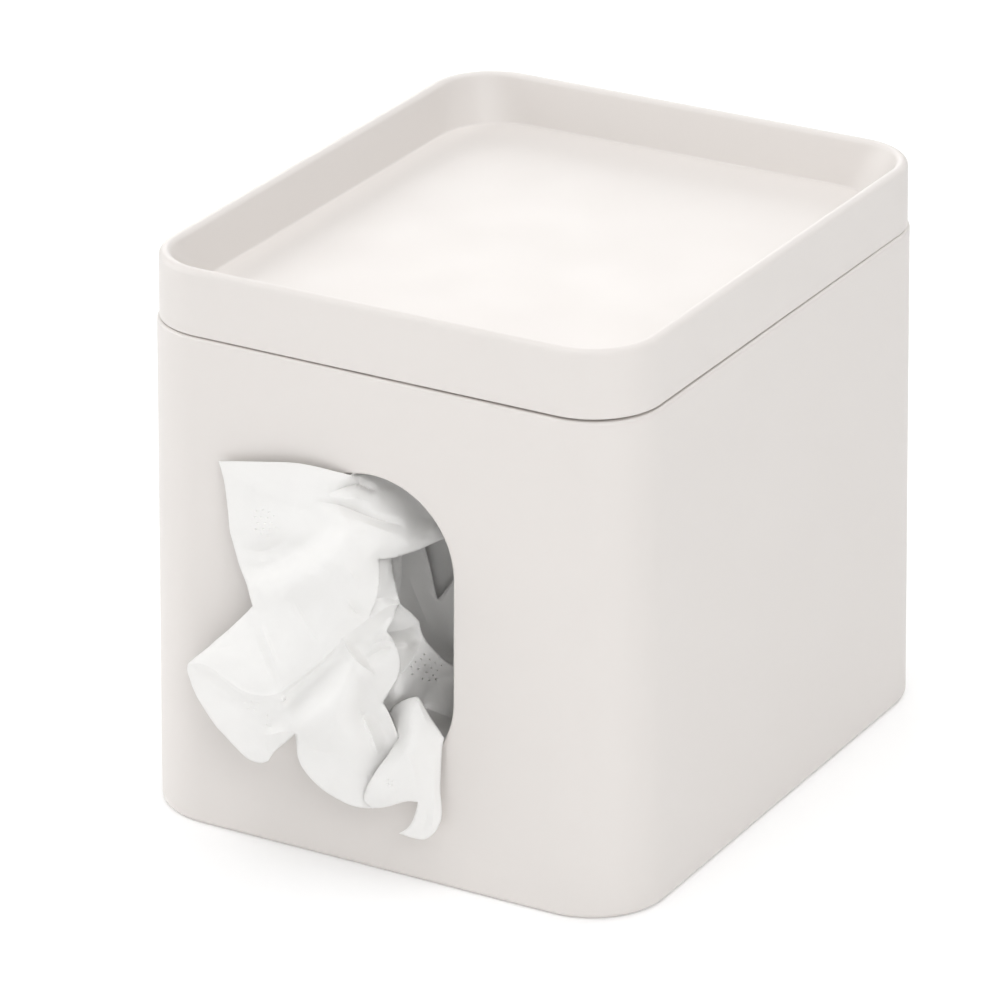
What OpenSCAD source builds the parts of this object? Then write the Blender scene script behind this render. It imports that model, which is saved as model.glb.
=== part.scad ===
// Desktop tissue box: an upright, slightly drafted shell with a tall round-ended
// opening in its front, a lift-off lid whose top is a shallow tray, a pack of
// folded tissues standing on its side inside, and one tissue pulled out.
// Millimetres. Origin: centre of the base, on the surface it stands on.
// +Z up, -Y is the front with the opening, +X is to the right of the front.

/* [Box] */
// Width across the front, at the seam under the lid
box_w = 130; // [126:1:150]
// Depth from front to back, at the seam under the lid
box_d = 155; // [150:1:175]
// Height of the shell, from the surface to the seam
box_h = 123; // [118:1:135]
// How far the foot stands out past the seam on every side
foot_flare = 1.8; // [0.4:0.1:2.4]
// Radius of the upright corners at the seam
corner_r = 17.5; // [14:0.5:22]
// Wall thickness at the seam
wall = 2.6; // [2.2:0.1:3.2]
// Thickness of the bottom
bottom_t = 2.6; // [2:0.1:4]
// Rounding of the outer edge at the foot
foot_edge_r = 1.6; // [0.6:0.1:2.2]
// Rounding of the outer edge at the seam
seam_edge_r = 0.8; // [0.4:0.1:1.1]
// Inner rounding between the walls and the bottom
inside_r = 2.5; // [1:0.5:3]

/* [Front opening] */
// Width of the opening
opening_w = 42.6; // [38:0.2:50]
// Height of the opening
opening_h = 73; // [64:1:80]
// Height of the opening's middle above the surface
opening_z = 62.5; // [56:0.5:66]
// Rounding of the opening's front edge
opening_edge_r = 0.7; // [0.3:0.1:1.2]

/* [Lid] */
// Height of the lid above the seam
lid_h = 16.5; // [14:0.5:22]
// How far the lid stands back from the shell at the seam
lid_inset = 0.5; // [0.2:0.1:0.9]
// Thickness of the tray's rim
rim_t = 3; // [2.9:0.1:3.6]
// Rounding of the rim's top edges
rim_r = 1.4; // [0.8:0.1:1.4]
// Depth of the tray below the rim
tray_depth = 11.5; // [8:0.5:11.5]
// Thickness of the tray's floor
tray_t = 2.2; // [1.8:0.1:2.4]
// Lean of the tray's wall from upright, in degrees
tray_lean = 14; // [6:1:16]
// Rounding between the tray's wall and its floor
tray_r = 0.6; // [0.4:0.1:1.5]
// How far the locating lip reaches down into the shell
lip_h = 5; // [3:0.5:7]
// Thickness of the locating lip
lip_t = 1.7; // [1.4:0.1:2]
// Clearance between the lip and the shell
lip_gap = 0.35; // [0.25:0.05:0.5]
// Height of the shadow groove under the lid's outer edge
groove_h = 0.35; // [0.2:0.05:0.5]
// Depth of the shadow groove
groove_d = 1.2; // [0.8:0.1:1.4]

/* [Tissues] */
// Width of the folded pack
pack_w = 112; // [100:1:112]
// Height of the folded pack, lying against the bottom
pack_h = 104; // [98:1:106]
// Thickness of the pack, front to back
pack_d = 120; // [80:1:122]
// Gap between the opening's wall and the front of the pack
pack_gap = 14; // [12:1:18]

/* [Hidden] */
$fn = 96;

// distance of the upright corners' axes from the middle, the same at every height
ax = box_w / 2 - corner_r;
ay = box_d / 2 - corner_r;
// slope of the outer walls: sideways run for each millimetre of height
draft = foot_flare / box_h;
top_z = box_h + lid_h;
tray_z = top_z - tray_depth;
inner_r = corner_r - wall;
opening_r = opening_w / 2;
opening_c = opening_h / 2 - opening_r;
front_y = box_d / 2 + draft * (box_h - opening_z);
pack_front = -(box_d / 2 - wall) + pack_gap;

// outer radius of the upright corners at height z, following the draft
function outer_r(z) = corner_r + draft * (box_h - z);

// Half profile of a drafted wall: radius against height, from the corner axis
// outwards, with both outer edges rounded by true arcs.
module wall_profile(r_low, z_low, r_high, z_high, e_low, e_high) {
    run = r_low - r_high;
    rise = z_high - z_low;
    len = sqrt(run * run + rise * rise);
    n = [rise / len, run / len];
    c_low = [r_low - e_low * (len + run) / rise, z_low + e_low];
    c_high = [r_high - e_high * (len - run) / rise, z_high - e_high];
    polygon([
        [0, z_low], [c_low[0], z_low], c_low + e_low * n,
        c_high + e_high * n, [c_high[0], z_high], [0, z_high]
    ]);
    if (e_low > 0) translate(c_low) circle(r = e_low, $fn = 48);
    if (e_high > 0) translate(c_high) circle(r = e_high, $fn = 48);
}

// Half profile of the tray: a leaning wall that runs without a step into the
// rounded inner edge of the rim above it.
module tray_profile(r_rim, z_floor, z_top, e_floor, e_rim, lean) {
    c_rim = [r_rim + e_rim, z_top - e_rim];
    meet = c_rim + e_rim * [-cos(lean), sin(lean)];
    wall_profile(meet[0] - tan(lean) * (meet[1] - z_floor), z_floor, meet[0], meet[1], e_floor, 0);
    difference() {
        translate([0, meet[1]]) square([c_rim[0], z_top + 1 - meet[1]]);
        translate(c_rim) circle(r = e_rim, $fn = 96);
    }
}

// Upright form with four round corners: two crossing slabs and a quarter turn
// of the same profile on each corner axis, so that flats and corners meet
// tangentially at every height.
module rounded_form(cx, cy, z_low, z_high) {
    for (s = [-1, 1]) {
        translate([0, cy, 0]) rotate([90, 0, 0]) linear_extrude(2 * cy)
            mirror([s < 0 ? 1 : 0, 0]) translate([cx, 0]) children();
        translate([-cx, 0, 0]) rotate([90, 0, 90]) linear_extrude(2 * cx)
            mirror([s < 0 ? 1 : 0, 0]) translate([cy, 0]) children();
    }
    translate([-cx, -cy, z_low]) cube([2 * cx, 2 * cy, z_high - z_low]);
    for (q = [0 : 3])
        translate([(q == 0 || q == 3) ? cx : -cx, q < 2 ? cy : -cy, 0])
            rotate([0, 0, 90 * q]) rotate_extrude(angle = 90) children();
}

// Round-ended slot in the plane of the front wall.
module slot_2d(r, c) {
    translate([0, c]) circle(r = r);
    translate([0, -c]) circle(r = r);
    translate([-r, -c]) square([2 * r, 2 * c]);
}

// Half section of the opening's cutter: radius against height above the front
// face, widening over a true arc so that the front edge comes out rounded.
module opening_profile(r, e, deep) {
    lift = 0.08 * e;
    translate([0, -deep]) square([r, deep + 2]);
    difference() {
        translate([0, lift - e]) square([r + e, e + 2 - lift]);
        translate([r + e, lift - e]) circle(r = e, $fn = 48);
    }
}

module opening_cutter(r, c, e, deep) {
    translate([0, c, 0]) rotate_extrude(angle = 180) opening_profile(r, e, deep);
    translate([0, -c, 0]) rotate([0, 0, 180]) rotate_extrude(angle = 180) opening_profile(r, e, deep);
    translate([0, c, 0]) rotate([90, 0, 0]) linear_extrude(2 * c) {
        opening_profile(r, e, deep);
        mirror([1, 0]) opening_profile(r, e, deep);
    }
}

module box_shell() {
    color([0.93, 0.92, 0.90]) difference() {
        rounded_form(ax, ay, 0, box_h)
            wall_profile(outer_r(0), 0, corner_r, box_h, foot_edge_r, seam_edge_r);
        // room for the tissues, open at the top, its walls upright with a hair of draft
        rounded_form(ax, ay, bottom_t, box_h + 1)
            wall_profile(inner_r - 0.2, bottom_t, inner_r, box_h + 1, inside_r, 0);
        // tall round-ended opening through the front wall, square to its face
        translate([0, -front_y, opening_z]) rotate([90 - atan(draft), 0, 0])
            opening_cutter(opening_r, opening_c, opening_edge_r, wall + foot_flare + 4);
    }
}

module tray_lid() {
    lid_low = corner_r - lid_inset;
    lid_high = lid_low - draft * lid_h;
    under_r = inner_r - lip_gap - lip_t;
    color([0.94, 0.93, 0.91]) difference() {
        union() {
            rounded_form(ax, ay, box_h, top_z)
                wall_profile(lid_low, box_h, lid_high, top_z, 0, rim_r);
            rounded_form(ax, ay, box_h - lip_h, box_h + 1)
                wall_profile(inner_r - lip_gap, box_h - lip_h, inner_r - lip_gap, box_h + 1, 0.6, 0);
        }
        // hollow underside
        rounded_form(ax, ay, box_h - lip_h - 1, tray_z - tray_t)
            wall_profile(under_r, box_h - lip_h - 1, under_r, tray_z - tray_t, 0, 1);
        // tray in the top
        rounded_form(ax, ay, tray_z, top_z + 1)
            tray_profile(lid_high - rim_t, tray_z, top_z, tray_r, rim_r, tray_lean);
        // shadow groove around the outside, just above the shell
        difference() {
            translate([-box_w, -box_d, box_h - 0.01]) cube([2 * box_w, 2 * box_d, groove_h + 0.01]);
            rounded_form(ax, ay, box_h - 1, box_h + 1)
                wall_profile(lid_low - groove_d, box_h - 1, lid_low - groove_d, box_h + 1, 0, 0);
        }
    }
}

// Stack of interfolded tissues, standing on its side with its face to the opening.
module tissue_pack() {
    color([0.97, 0.97, 0.97])
        translate([0, pack_front + pack_d, bottom_t]) rotate([90, 0, 0]) linear_extrude(pack_d)
            union() {
                translate([-pack_w / 2, 1.5]) square([pack_w, pack_h - 3]);
                translate([-pack_w / 2 + 1.5, 0]) square([pack_w - 3, pack_h]);
                for (x = [-1, 1], z = [1.5, pack_h - 1.5])
                    translate([x * (pack_w / 2 - 1.5), z]) circle(r = 1.5, $fn = 24);
            }
}

// Outer shape of the crumpled tissue: a neck through the opening and the
// drooping tuft in front of it.
module pulled_tissue() {
    y0 = -front_y;
    color([0.98, 0.98, 0.98]) union() {
        // neck, clear of the opening all round
        translate([-3.4, pack_front - 0.6, opening_z]) rotate([90, 0, 0])
            linear_extrude(front_y + pack_front + 6) slot_2d(opening_r - 4.4, opening_c + 1.2);
        // tuft: upper leaf, lower leaf and hanging tail
        hull() {
            translate([-35, y0 - 5, 95]) sphere(r = 4, $fn = 20);
            translate([8.5, y0 - 6, 89]) sphere(r = 4.5, $fn = 20);
            translate([-13, y0 - 11, 72]) sphere(r = 6, $fn = 20);
            translate([-18, y0 - 9, 55]) sphere(r = 6, $fn = 20);
            translate([8.5, y0 - 7, 55]) sphere(r = 5, $fn = 20);
        }
        hull() {
            translate([-40, y0 - 8, 49]) sphere(r = 4.5, $fn = 20);
            translate([-8, y0 - 11, 52]) sphere(r = 6.5, $fn = 20);
            translate([8.5, y0 - 7, 55]) sphere(r = 5, $fn = 20);
            translate([-25, y0 - 10, 29]) sphere(r = 4.5, $fn = 20);
            translate([8, y0 - 9, 25]) sphere(r = 5, $fn = 20);
        }
        hull() {
            translate([8, y0 - 8, 29]) sphere(r = 5, $fn = 20);
            translate([14, y0 - 5.5, 18]) sphere(r = 4, $fn = 20);
        }
    }
}

box_shell();
tray_lid();
tissue_pack();
pulled_tissue();
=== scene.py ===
import math
import bpy
import bmesh
import numpy as np
from mathutils import Matrix, Vector, noise


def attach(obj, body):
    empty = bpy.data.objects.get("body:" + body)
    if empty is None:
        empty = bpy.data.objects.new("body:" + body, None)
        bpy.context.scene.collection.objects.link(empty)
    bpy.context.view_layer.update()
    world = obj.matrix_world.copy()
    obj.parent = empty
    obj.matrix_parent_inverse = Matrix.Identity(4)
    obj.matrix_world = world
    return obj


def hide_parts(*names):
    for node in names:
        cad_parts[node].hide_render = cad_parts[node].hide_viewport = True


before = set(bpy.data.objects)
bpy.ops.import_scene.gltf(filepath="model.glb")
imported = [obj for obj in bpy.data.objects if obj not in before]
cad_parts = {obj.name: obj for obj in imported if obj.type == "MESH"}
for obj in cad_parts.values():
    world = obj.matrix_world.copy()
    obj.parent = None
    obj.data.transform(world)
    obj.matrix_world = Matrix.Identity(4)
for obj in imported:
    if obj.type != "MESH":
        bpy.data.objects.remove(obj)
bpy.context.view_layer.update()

scene = bpy.context.scene
MM = 0.001

# ---------------------------------------------------------------- the camera
# Pinhole camera fitted to the outline, seam, tray and opening; no shift.
EYE = np.array([0.66986, -1.18789, 0.65805])
RIGHT = np.array([0.86824, 0.49613, -0.00313])
UP = np.array([-0.19578, 0.34839, 0.91668])
BACK = np.array([0.45588, -0.79528, 0.39962])
FOCAL_PX = 6233.228


def make_camera():
    data = bpy.data.cameras.new("view_camera")
    cam = bpy.data.objects.new("view_camera", data)
    scene.collection.objects.link(cam)
    data.sensor_fit = "HORIZONTAL"
    data.sensor_width = 36.0
    data.lens = FOCAL_PX * 36.0 / 1000.0
    data.clip_start = 0.05
    data.clip_end = 50.0
    m = Matrix.Identity(4)
    for i in range(3):
        m[i][0], m[i][1], m[i][2], m[i][3] = RIGHT[i], UP[i], BACK[i], EYE[i]
    cam.matrix_world = m
    scene.camera = cam


def seen_at(px, py, d):
    """The point that a pixel of the 1000 x 1000 frame shows, d millimetres in front of the box's front face."""
    ray = RIGHT * (px - 500.0) / FOCAL_PX + UP * (500.0 - py) / FOCAL_PX - BACK
    # the front face leans in by 1.8 mm over 123 mm of height
    n = np.array([0.0, -1.0, 1.8 / 123.0])
    n = n / np.linalg.norm(n)
    p0 = np.array([0.0, -0.0793, 0.0]) + n * d * MM
    t = np.dot(p0 - EYE, n) / np.dot(ray, n)
    return EYE + ray * t


# ------------------------------------------------------------------- helpers
def new_object(name, verts, faces, smooth=True):
    me = bpy.data.meshes.new(name)
    me.from_pydata([tuple(map(float, v)) for v in verts], [], [tuple(map(int, f)) for f in faces])
    me.validate(clean_customdata=False)
    me.update()
    if smooth:
        me.polygons.foreach_set("use_smooth", [True] * len(me.polygons))
    ob = bpy.data.objects.new(name, me)
    scene.collection.objects.link(ob)
    return ob


def weld(ob, dist=2e-6, recalc=True):
    bm = bmesh.new()
    bm.from_mesh(ob.data)
    bmesh.ops.remove_doubles(bm, verts=bm.verts, dist=dist)
    bmesh.ops.dissolve_degenerate(bm, dist=1e-7, edges=bm.edges)
    if recalc:
        bmesh.ops.recalc_face_normals(bm, faces=bm.faces)
    bm.to_mesh(ob.data)
    bm.free()
    ob.data.polygons.foreach_set("use_smooth", [True] * len(ob.data.polygons))
    ob.data.update()


def weighted(ob, sharp_deg=None):
    if sharp_deg is not None:
        ob.data.set_sharp_from_angle(angle=math.radians(sharp_deg))
    m = ob.modifiers.new("even_normals", "WEIGHTED_NORMAL")
    m.mode = "FACE_AREA"
    m.weight = 60
    m.keep_sharp = True


# ------------------------------------------------------- moulded box and lid
AX, AY = 47.5, 60.0  # axes of the upright corners
NX, NY, NC, NZ = 32, 28, 16, 32
DRAFT = 1.8 / 123.0
Z_LOW, Z_HIGH = 6.5, 117.0  # the stretch of the front wall that holds the opening


def ring(hx, hy, rc, z):
    """A rounded rectangle at height z, in mm, from the front's left end round to the right."""
    cx, cy = hx - rc, hy - rc
    pts = []
    for k in range(NX):
        pts.append((-cx + 2 * cx * k / NX, -hy, z))
    for k in range(NC):
        a = -math.pi / 2 + math.pi / 2 * k / NC
        pts.append((cx + rc * math.cos(a), -cy + rc * math.sin(a), z))
    for k in range(NY):
        pts.append((hx, -cy + 2 * cy * k / NY, z))
    for k in range(NC):
        a = math.pi / 2 * k / NC
        pts.append((cx + rc * math.cos(a), cy + rc * math.sin(a), z))
    for k in range(NX):
        pts.append((cx - 2 * cx * k / NX, hy, z))
    for k in range(NC):
        a = math.pi / 2 + math.pi / 2 * k / NC
        pts.append((-cx + rc * math.cos(a), cy + rc * math.sin(a), z))
    for k in range(NY):
        pts.append((-hx, cy - 2 * cy * k / NY, z))
    for k in range(NC):
        a = math.pi + math.pi / 2 * k / NC
        pts.append((-cx + rc * math.cos(a), -cy + rc * math.sin(a), z))
    return pts


RING = 2 * NX + 2 * NY + 4 * NC


def arc(cr, cz, r, a0, a1, n, skip_first=False):
    """Points (radius, height) on an arc, angles in degrees from +radius towards +height."""
    out = []
    for k in range(1 if skip_first else 0, n + 1):
        a = math.radians(a0 + (a1 - a0) * k / n)
        out.append((cr + r * math.cos(a), cz + r * math.sin(a)))
    return out


class Loft:
    def __init__(self):
        self.v, self.f = [], []

    def add_ring(self, pts):
        self.v.extend(pts)
        return len(self.v) - len(pts)

    def join(self, a, b, skip=None):
        n = RING
        for k in range(n):
            if skip is not None and skip(k):
                continue
            k2 = (k + 1) % n
            self.f.append((a + k, a + k2, b + k2, b + k))

    def cap(self, last, z, cx, cy):
        """Closes a ring whose corners have shrunk to points, with a grid."""
        base = len(self.v)
        for j in range(NY + 1):
            for i in range(NX + 1):
                self.v.append((-cx + 2 * cx * i / NX, -cy + 2 * cy * j / NY, z))
        for j in range(NY):
            for i in range(NX):
                a = base + j * (NX + 1) + i
                self.f.append((a, a + 1, a + NX + 2, a + NX + 1))


def build_shell():
    L = Loft()
    r0 = 17.5 + 1.8  # foot
    th = math.degrees(math.atan(DRAFT))
    rows = []  # (radius, height, tag)
    rows += [(0.0, 0.0), (8.0, 0.0), (14.0, 0.0)]
    e = 1.6
    run, rise = 1.8, 123.0
    ln = math.hypot(run, rise)
    c_low = (r0 - e * (ln + run) / rise, e)
    rows += arc(c_low[0], c_low[1], e, -90, th, 7)
    e2 = 0.8
    c_high = (17.5 - e2 * (ln - run) / rise, 123.0 - e2)
    top_arc = arc(c_high[0], c_high[1], e2, th, 90, 6)

    def outer(z):
        a = (c_low[0] + e * math.cos(math.radians(th)), c_low[1] + e * math.sin(math.radians(th)))
        b = top_arc[0]
        t = (z - a[1]) / (b[1] - a[1])
        return a[0] + (b[0] - a[0]) * t

    rows.append((outer(4.0), 4.0))
    window_from = len(rows)
    for k in range(NZ + 1):
        z = Z_LOW + (Z_HIGH - Z_LOW) * k / NZ
        rows.append((outer(z), z))
    window_to = len(rows) - 1
    rows.append((outer(119.5), 119.5))
    rows += top_arc
    inner_top = 14.9 + 0.35
    rows += arc(inner_top, 123.0 - 0.35, 0.35, 90, 180, 3)

    def inner(z):
        return 14.7 + 0.2 * (z - 5.1) / 117.9

    rows.append((inner(119.5), 119.5))
    in_from = len(rows)
    for k in range(NZ + 1):
        z = Z_HIGH - (Z_HIGH - Z_LOW) * k / NZ
        rows.append((inner(z), z))
    in_to = len(rows) - 1
    rows += arc(14.7 - 2.5, 2.6 + 2.5, 2.5, 0, -90, 6)
    rows += [(6.0, 2.6), (0.0, 2.6)]

    # the seam of the real box isn't quite level: small differences at the four corners
    def lift(x, y, z):
        w = max(0.0, (z - 60.0) / 63.0)
        u, v = (x + 65.0) / 130.0, (y + 77.5) / 155.0
        s = (1 - v) * ((1 - u) * 0.30 + u * -0.50) + v * ((1 - u) * 0.20 + u * 0.25)
        return z + s * w * w

    starts = []
    for r, z in rows:
        pts = ring(AX + r, AY + r, r, z)
        pts = [(x, y, lift(x, y, zz)) for x, y, zz in pts]
        starts.append(L.add_ring(pts))
    for i in range(len(rows) - 1):
        in_window = window_from <= i < window_to or in_from <= i < in_to
        L.join(starts[i], starts[i + 1], (lambda k: k < NX) if in_window else None)
    L.cap(starts[0], 0.0, AX, AY)
    L.cap(starts[-1], 2.6, AX, AY)

    # the patch of the front wall around the opening
    def border(row_a, row_b, ring_of):
        """Indices round the window's border: along the low row, up the right, back along the high row, down the left."""
        out = [starts[row_a] + k for k in range(NX)]
        step = 1 if row_b > row_a else -1
        out += [starts[r] + NX for r in range(row_a, row_b, step)]
        out += [starts[row_b] + k for k in range(NX, 0, -1)]
        out += [starts[r] for r in range(row_b, row_a, -step)]
        return out

    HW, HS, ZC = 21.3, 15.2, 62.5

    def stadium(dx, dz, grow):
        """Where a ray from the opening's middle meets its outline, let out by grow."""
        r = HW + grow
        m = math.hypot(dx, dz)
        dx, dz = dx / m, dz / m
        if abs(dx) > 1e-9:
            t = r / abs(dx)
            if abs(t * dz) <= HS:
                return t * dx, t * dz
        c = HS if dz > 0 else -HS
        b = dz * c
        t = b + math.sqrt(max(0.0, b * b - c * c + r * r))
        return t * dx, t * dz

    out_b = border(window_from, window_to, None)
    in_b = border(in_to, in_from, None)
    n = len(out_b)
    dirs = []
    for idx in out_b:
        x, y, z = L.v[idx]
        dirs.append((x, z - ZC))

    def face_y(z):
        return -(AY + outer(z))

    def inner_y(z):
        return -(AY + inner(z))

    rings = []
    EDGE = 0.7
    # outer face, from the border in to the start of the rounding
    for t in (0.35, 0.65, 0.85, 1.0):
        base = len(L.v)
        for idx, d in zip(out_b, dirs):
            x0, _, z0 = L.v[idx]
            sx, sz = stadium(d[0], d[1], EDGE)
            x = x0 + (sx - x0) * t
            z = z0 + (ZC + sz - z0) * t
            L.v.append((x, face_y(z), z))
        rings.append(base)
    for k in range(1, 6):
        a = math.radians(90 * k / 5)
        grow = EDGE - EDGE * math.sin(a)
        deep = EDGE - EDGE * math.cos(a)
        base = len(L.v)
        for d in dirs:
            sx, sz = stadium(d[0], d[1], grow)
            z = ZC + sz
            L.v.append((sx, face_y(z) + deep, z))
        rings.append(base)
    # through the wall
    for t in (0.33, 0.66):
        base = len(L.v)
        for d in dirs:
            sx, sz = stadium(d[0], d[1], 0.0)
            z = ZC + sz
            ya, yb = face_y(z) + EDGE, inner_y(z) - 0.3
            L.v.append((sx, ya + (yb - ya) * t, z))
        rings.append(base)
    for k in range(0, 4):
        a = math.radians(90 * k / 3)
        grow = 0.3 - 0.3 * math.cos(a)
        base = len(L.v)
        for d in dirs:
            sx, sz = stadium(d[0], d[1], grow)
            z = ZC + sz
            L.v.append((sx, inner_y(z) - 0.3 + 0.3 * math.sin(a), z))
        rings.append(base)
    for t in (0.4, 0.75):
        base = len(L.v)
        for idx, d in zip(in_b, dirs):
            x1, _, z1 = L.v[idx]
            sx, sz = stadium(d[0], d[1], 0.3)
            x = sx + (x1 - sx) * t
            z = ZC + sz + (z1 - ZC - sz) * t
            L.v.append((x, inner_y(z), z))
        rings.append(base)
    chain = [out_b] + [[b + k for k in range(n)] for b in rings] + [in_b]
    for a, b in zip(chain[:-1], chain[1:]):
        for k in range(n):
            k2 = (k + 1) % n
            L.f.append((a[k], a[k2], b[k2], b[k]))

    ob = new_object("shell_moulding", [(x * MM, y * MM, z * MM) for x, y, z in L.v], L.f)
    weld(ob)
    weighted(ob, 50)
    return ob


def build_lid():
    L = Loft()
    th = math.degrees(math.atan(DRAFT))
    low, high = 17.0, 17.0 - DRAFT * 16.5
    top = 139.5
    rr = 1.45
    tray_z = 128.0
    rows = []  # (half x, half y, corner radius, height)

    def push(r, z, rc=None):
        rows.append((AX + r, AY + r, r if rc is None else rc, z))

    # tray floor, from the middle outwards; its corners are rounder than the rim's
    lean = math.radians(14)
    z_in = top - rr
    r_rim = high - 3.0
    meet = (r_rim + rr * (1 - math.cos(lean)), z_in + rr * math.sin(lean))
    foot = meet[0] - math.tan(lean) * (meet[1] - tray_z)
    fil = 0.6
    c_f = foot - fil * (1 - math.sin(lean)) / math.cos(lean)
    more = 5.4
    rows.append((AX, AY, 0.0, tray_z))
    rows.append((AX + 3.0, AY + 3.0, 5.5, tray_z))
    rows.append((AX + 7.0, AY + 7.0, 12.0, tray_z))
    rows.append((AX + 9.6, AY + 9.6, 9.6 + more, tray_z))
    for k in range(0, 6):
        a = math.radians(-90 + 76 * k / 5)
        r = c_f + fil * math.cos(a)
        rows.append((AX + r, AY + r, r + more, tray_z + fil + fil * math.sin(a)))
    r_a, z_a = r, rows[-1][3]
    for k in range(1, 7):
        t = k / 6.0
        r = r_a + (meet[0] - r_a) * t
        rows.append((AX + r, AY + r, r + more * (1 - t), z_a + (meet[1] - z_a) * t))
    for k in range(1, 7):
        a = math.radians(180 - 14 - 76 * k / 6)
        push(r_rim + rr + rr * math.cos(a), z_in + rr * math.sin(a))
    c_out = high - rr * (math.hypot(DRAFT * 16.5, 16.5) - DRAFT * 16.5) / 16.5
    for k in range(1, 8):
        a = math.radians(90 + (th - 90) * k / 7)
        push(c_out + rr * math.cos(a), z_in + rr * math.sin(a))
    groove = 123.22
    z_edge = rows[-1][3]
    r_edge = rows[-1][0] - AX
    r_bot = low - DRAFT * (groove + 0.25 - 123.0)
    for k in range(1, 6):
        t = k / 5.0
        push(r_edge + (r_bot - r_edge) * t, z_edge + (groove + 0.25 - z_edge) * t)
    push(r_bot - 0.07, groove + 0.07)
    push(r_bot - 0.25, groove)
    push(r_bot - 1.0, groove)
    push(r_bot - 1.15, groove - 0.12)
    push(r_bot - 1.15, 123.02)
    lip = 14.9 - 0.35
    push(lip, 123.02)
    push(lip, 120.5)
    push(lip, 118.6)
    push(lip - 0.18, 118.18)
    push(lip - 0.6, 118.0)
    push(lip - 1.3, 118.0)
    push(lip - 1.7, 118.3)
    push(lip - 1.7, 121.0)
    push(lip - 1.7, 124.8)
    for k in range(1, 5):
        a = math.radians(90 * k / 4)
        push(lip - 1.7 - 1.0 + math.cos(a), 124.8 + math.sin(a))
    push(6.0, 125.8)
    push(0.0, 125.8)

    def lift(x, y, z):
        """The lid sits a hair askew: its lower edge stands off the shell most at the front left."""
        if z > 127.0:
            w = max(0.0, 1 - (z - 127.0) / 8.0)
        else:
            w = 1.0
        u, v = (x + 65.0) / 130.0, (y + 77.5) / 155.0
        s = (1 - v) * ((1 - u) * 0.34 + u * -0.10) + v * ((1 - u) * 0.20 + u * 0.12)
        return z + s * w

    starts = []
    outside = False
    for hx, hy, rc, z in rows:
        outside = outside or z >= top - 1e-6
        pts = ring(hx, hy, rc, z)
        if outside:
            pts = [(x, y, lift(x, y, zz)) for x, y, zz in pts]
        starts.append(L.add_ring(pts))
    for i in range(len(rows) - 1):
        L.join(starts[i], starts[i + 1])
    L.cap(starts[0], tray_z, AX, AY)
    base = len(L.v)
    L.cap(starts[-1], 125.8, AX, AY)
    for i in range(base, len(L.v)):
        x, y, z = L.v[i]
        L.v[i] = (x, y, lift(x, y, z))
    ob = new_object("lid_moulding", [(x * MM, y * MM, z * MM) for x, y, z in L.v], L.f)
    weld(ob)
    weighted(ob, 50)
    return ob


# ------------------------------------------------------------------ materials
def node_material(name):
    m = bpy.data.materials.new(name)
    m.use_nodes = True
    nt = m.node_tree
    bsdf = nt.nodes.get("Principled BSDF")
    return m, nt, bsdf


def plastic(name, base, rough=0.42, seed=0.0):
    """Moulded plastic with a fine satin grain and a faint drift of tone and gloss."""
    m, nt, b = node_material(name)
    N = nt.nodes
    co = N.new("ShaderNodeTexCoord")
    drift = N.new("ShaderNodeTexNoise")
    drift.inputs["Scale"].default_value = 14.0
    drift.inputs["Detail"].default_value = 3.0
    off = N.new("ShaderNodeVectorMath")
    off.operation = "ADD"
    off.inputs[1].default_value = (seed, seed * 0.7, seed * 0.3)
    nt.links.new(co.outputs["Object"], off.inputs[0])
    nt.links.new(off.outputs[0], drift.inputs["Vector"])
    mix = N.new("ShaderNodeMix")
    mix.data_type = "RGBA"
    lo = tuple(c * 0.985 for c in base)
    hi = tuple(min(1.0, c * 1.012) for c in base)
    mix.inputs["A"].default_value = (*lo, 1)
    mix.inputs["B"].default_value = (*hi, 1)
    nt.links.new(drift.outputs["Fac"], mix.inputs["Factor"])
    nt.links.new(mix.outputs["Result"], b.inputs["Base Color"])
    # satin: two sizes of grain
    grain = N.new("ShaderNodeTexNoise")
    grain.inputs["Scale"].default_value = 2600.0
    grain.inputs["Detail"].default_value = 2.0
    nt.links.new(off.outputs[0], grain.inputs["Vector"])
    flow = N.new("ShaderNodeTexNoise")
    flow.inputs["Scale"].default_value = 55.0
    flow.inputs["Detail"].default_value = 2.0
    nt.links.new(off.outputs[0], flow.inputs["Vector"])
    ramp = N.new("ShaderNodeMapRange")
    ramp.inputs["From Min"].default_value = 0.3
    ramp.inputs["From Max"].default_value = 0.7
    ramp.inputs["To Min"].default_value = rough - 0.03
    ramp.inputs["To Max"].default_value = rough + 0.04
    nt.links.new(flow.outputs["Fac"], ramp.inputs["Value"])
    nt.links.new(ramp.outputs["Result"], b.inputs["Roughness"])
    bump1 = N.new("ShaderNodeBump")
    bump1.inputs["Strength"].default_value = 0.10
    bump1.inputs["Distance"].default_value = 0.00006
    nt.links.new(grain.outputs["Fac"], bump1.inputs["Height"])
    bump2 = N.new("ShaderNodeBump")
    bump2.inputs["Strength"].default_value = 0.05
    bump2.inputs["Distance"].default_value = 0.0004
    nt.links.new(flow.outputs["Fac"], bump2.inputs["Height"])
    nt.links.new(bump1.outputs["Normal"], bump2.inputs["Normal"])
    nt.links.new(bump2.outputs["Normal"], b.inputs["Normal"])
    b.inputs["IOR"].default_value = 1.5
    b.inputs["Specular IOR Level"].default_value = 0.5
    return m


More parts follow.
